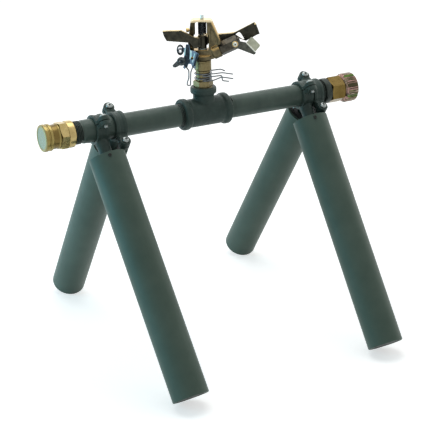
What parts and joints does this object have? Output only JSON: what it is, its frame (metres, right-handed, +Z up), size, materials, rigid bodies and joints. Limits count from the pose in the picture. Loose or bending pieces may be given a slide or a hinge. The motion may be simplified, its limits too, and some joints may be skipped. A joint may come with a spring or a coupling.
{
  "type": "impulse sprinkler",
  "caption": "Impulse sprinkler on a folding pipe stand, with a hose swivel, a capped outlet and an adjustable trip.",
  "frame": {"origin": "centre of the footprint, on the ground", "axes": "+X along the water pipe towards the hose swivel, +Y to the back, +Z up"},
  "size_m": [0.4112, 0.4007, 0.3867],
  "materials": {
    "pipe_paint": "dark grey-green paint over galvanised pipe",
    "leg_paint": "smooth grey-green paint",
    "malleable_iron": "dark painted casting",
    "plug_black": "matt black moulding",
    "zinc_screw": "bright zinc plate",
    "dark_screw": "blackened",
    "polished_brass": "polished",
    "satin_brass": "satin, slightly tarnished",
    "chromated_brass": "fluted and polished",
    "black_rubber": "matt",
    "cast_bronze": "smooth cast and buffed",
    "arm_bronze": "dark cast bronze with bright edges",
    "spring_steel": "drawn wire",
    "bright_chrome": "bright plated",
    "nylon": "white washer"
  },
  "bodies": {
    "stand": {"left_pipe": "pipe_paint", "right_pipe": "pipe_paint", "tee": "malleable_iron", "outlet_adapter": "polished_brass", "inlet_collar": "malleable_iron", "inlet_adapter": "satin_brass", "bearing_nipple": "polished_brass"},
    "hose_cap": {"hose_cap": "polished_brass", "cap_washer": "black_rubber"},
    "swivel_nut": {"swivel_nut": "chromated_brass", "inlet_washer": "black_rubber"},
    "front_left_leg": {"front_left_leg_tube": "leg_paint", "front_left_top_plug": "plug_black", "front_left_foot_plug": "plug_black", "front_left_plug_screw": "dark_screw", "front_left_clamp_saddle": "malleable_iron", "front_left_clamp_cap": "malleable_iron", "front_left_clamp_screw_upper": "zinc_screw", "front_left_clamp_screw_lower": "zinc_screw"},
    "front_right_leg": {"front_right_leg_tube": "leg_paint", "front_right_top_plug": "plug_black", "front_right_foot_plug": "plug_black", "front_right_plug_screw": "dark_screw", "front_right_clamp_saddle": "malleable_iron", "front_right_clamp_cap": "malleable_iron", "front_right_clamp_screw_upper": "zinc_screw", "front_right_clamp_screw_lower": "zinc_screw"},
    "back_left_leg": {"back_left_leg_tube": "leg_paint", "back_left_top_plug": "plug_black", "back_left_foot_plug": "plug_black", "back_left_plug_screw": "dark_screw", "back_left_clamp_saddle": "malleable_iron", "back_left_clamp_cap": "malleable_iron", "back_left_clamp_screw_upper": "zinc_screw", "back_left_clamp_screw_lower": "zinc_screw"},
    "back_right_leg": {"back_right_leg_tube": "leg_paint", "back_right_top_plug": "plug_black", "back_right_foot_plug": "plug_black", "back_right_plug_screw": "dark_screw", "back_right_clamp_saddle": "malleable_iron", "back_right_clamp_cap": "malleable_iron", "back_right_clamp_screw_upper": "zinc_screw", "back_right_clamp_screw_lower": "zinc_screw"},
    "head": {"sprinkler_body": "cast_bronze", "nozzle": "polished_brass", "flap_screw": "polished_brass", "fulcrum_pin": "spring_steel", "arm_washer": "nylon", "arm_spring": "spring_steel", "spring_peg": "polished_brass", "bearing_nut": "polished_brass", "bearing_spring": "spring_steel"},
    "drive_arm": {"drive_arm": "arm_bronze"},
    "deflector_flap": {"deflector_flap": "bright_chrome"},
    "trip_lever": {"trip_lever": "bright_chrome", "trip_spring": "spring_steel"},
    "trip_hammer": {"trip_hammer": "zinc_screw"},
    "trip_wire": {"trip_wire": "spring_steel"},
    "lower_collar": {"lower_collar": "spring_steel"},
    "upper_collar": {"upper_collar": "spring_steel"}
  },
  "joints": [
    {"name": "front_left_fold", "type": "hinge", "parent": "stand", "child": "front_left_leg", "pos_m": [-0.138, 0, 0.272], "axis": [1, 0, 0], "range_deg": [-54.8, 1.5]},
    {"name": "front_right_fold", "type": "hinge", "parent": "stand", "child": "front_right_leg", "pos_m": [0.1333, 0, 0.272], "axis": [1, 0, 0], "range_deg": [-54.8, 1.5]},
    {"name": "back_left_fold", "type": "hinge", "parent": "stand", "child": "back_left_leg", "pos_m": [-0.1146, 0, 0.272], "axis": [1, 0, 0], "range_deg": [-1.5, 54.8]},
    {"name": "back_right_fold", "type": "hinge", "parent": "stand", "child": "back_right_leg", "pos_m": [0.1487, 0, 0.272], "axis": [1, 0, 0], "range_deg": [-1.5, 54.8]},
    {"name": "cap_turn", "type": "hinge", "parent": "stand", "child": "hose_cap", "pos_m": [-0.0019, 0, 0.272], "axis": [-1, 0, 0], "continuous": true},
    {"name": "swivel_turn", "type": "hinge", "parent": "stand", "child": "swivel_nut", "pos_m": [-0.0019, 0, 0.272], "axis": [1, 0, 0], "continuous": true},
    {"name": "head_turn", "type": "hinge", "parent": "stand", "child": "head", "pos_m": [-0.0019, 0, 0.272], "axis": [0, 0, 1], "range_deg": [-170, 80]},
    {"name": "arm_swing", "type": "hinge", "parent": "head", "child": "drive_arm", "pos_m": [-0.0019, 0, 0.272], "axis": [0, 0, 1], "range_deg": [0, 55], "stiffness_Nm_per_rad": 0.01, "springref_deg": -17.19},
    {"name": "flap_tilt", "type": "hinge", "parent": "head", "child": "deflector_flap", "pos_m": [0.03118, -0.01788, 0.35354], "axis": [-0.4756, -0.8796, 0], "range_deg": [-5, 30]},
    {"name": "trip_lever_tilt", "type": "hinge", "parent": "head", "child": "trip_lever", "pos_m": [-0.01246, 0.00571, 0.339], "axis": [-0.4756, -0.8796, 0], "range_deg": [-6, 6]},
    {"name": "hammer_turn", "type": "hinge", "parent": "trip_lever", "child": "trip_hammer", "pos_m": [-0.02336, 0.01161, 0.3362], "axis": [-0.4756, -0.8796, 0], "range_deg": [0, 20]},
    {"name": "trip_wire_swing", "type": "hinge", "parent": "trip_lever", "child": "trip_wire", "pos_m": [-0.00865, -0.01249, 0.329], "axis": [0.8796, -0.4756, 0], "range_deg": [-12, 12]},
    {"name": "lower_collar_set", "type": "hinge", "parent": "stand", "child": "lower_collar", "pos_m": [-0.0019, 0, 0.272], "axis": [0, 0, 1], "range_deg": [0, 100]},
    {"name": "upper_collar_set", "type": "hinge", "parent": "stand", "child": "upper_collar", "pos_m": [-0.0019, 0, 0.272], "axis": [0, 0, 1], "range_deg": [-80, 0]}
  ]
}
